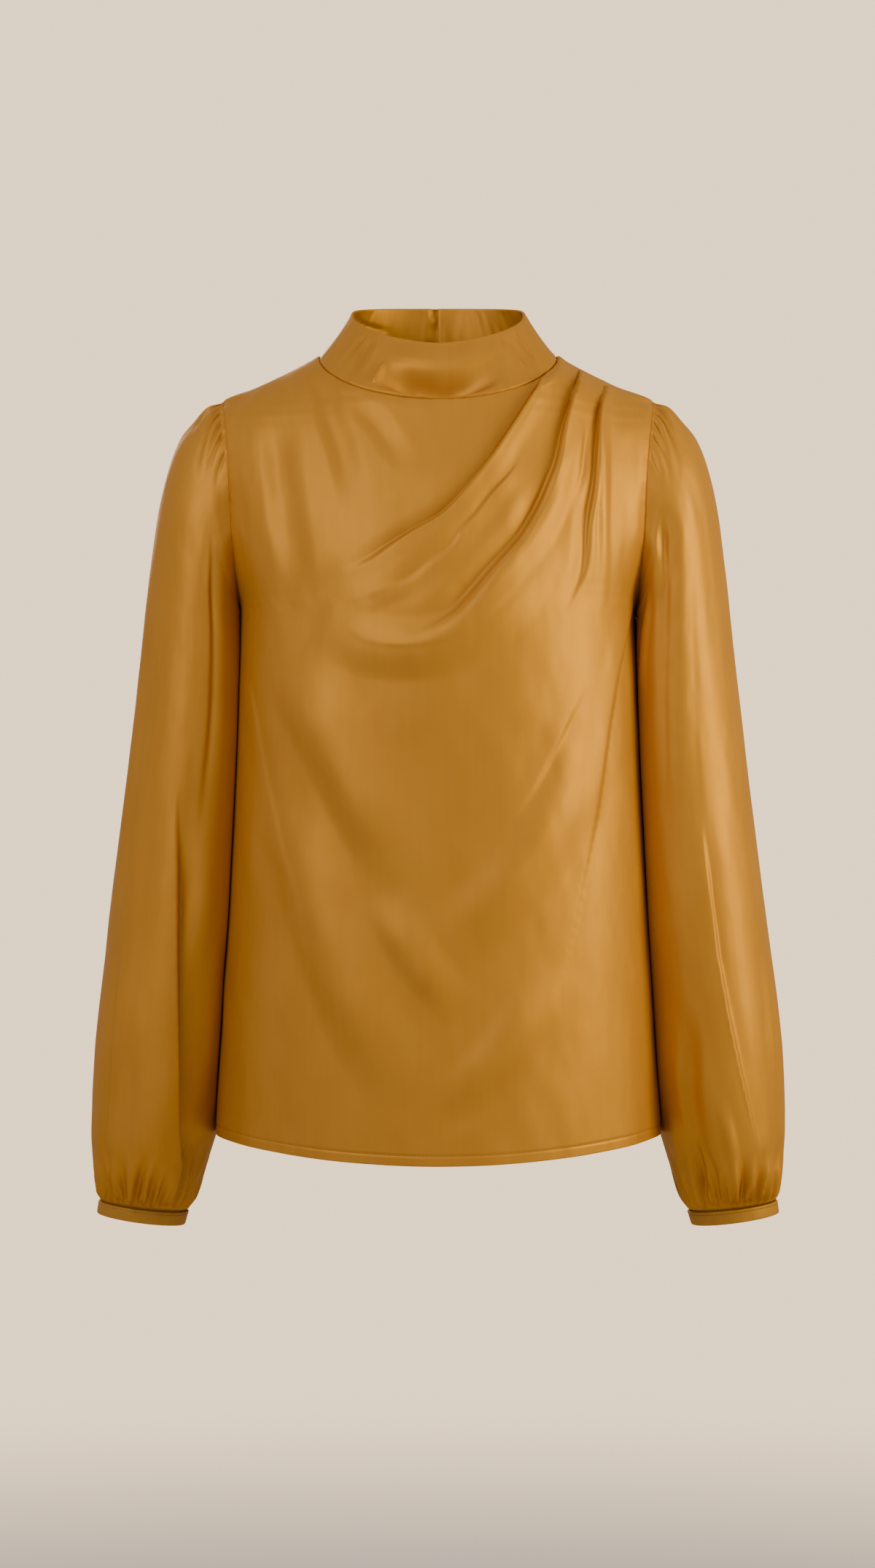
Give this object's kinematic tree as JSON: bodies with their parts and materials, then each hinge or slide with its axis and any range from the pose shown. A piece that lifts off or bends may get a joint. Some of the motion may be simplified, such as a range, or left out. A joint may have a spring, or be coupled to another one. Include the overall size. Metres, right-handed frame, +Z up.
{
  "type": "blouse",
  "caption": "Mustard satin blouse with a high draped neck band, pleats radiating from one shoulder, full sleeves gathered into narrow cuffs and a curved hem, filled out as if worn.",
  "frame": {"origin": "midway between the two high shoulder points, where the wearer's neck and shoulders carry the blouse", "axes": "+Z up the wearer's body, -Y out of the blouse's front, +X towards the wearer's left"},
  "size_m": [0.5518, 0.2537, 0.7296],
  "materials": {
    "satin": "soft satin sheen"
  },
  "bodies": {
    "root": {"front": "satin", "back": "satin", "neck_band": "satin", "sleeve_left": "satin", "sleeve_right": "satin", "cuff_left": "satin", "cuff_right": "satin", "neck_button_1": "satin", "neck_button_2": "satin"}
  },
  "joints": []
}
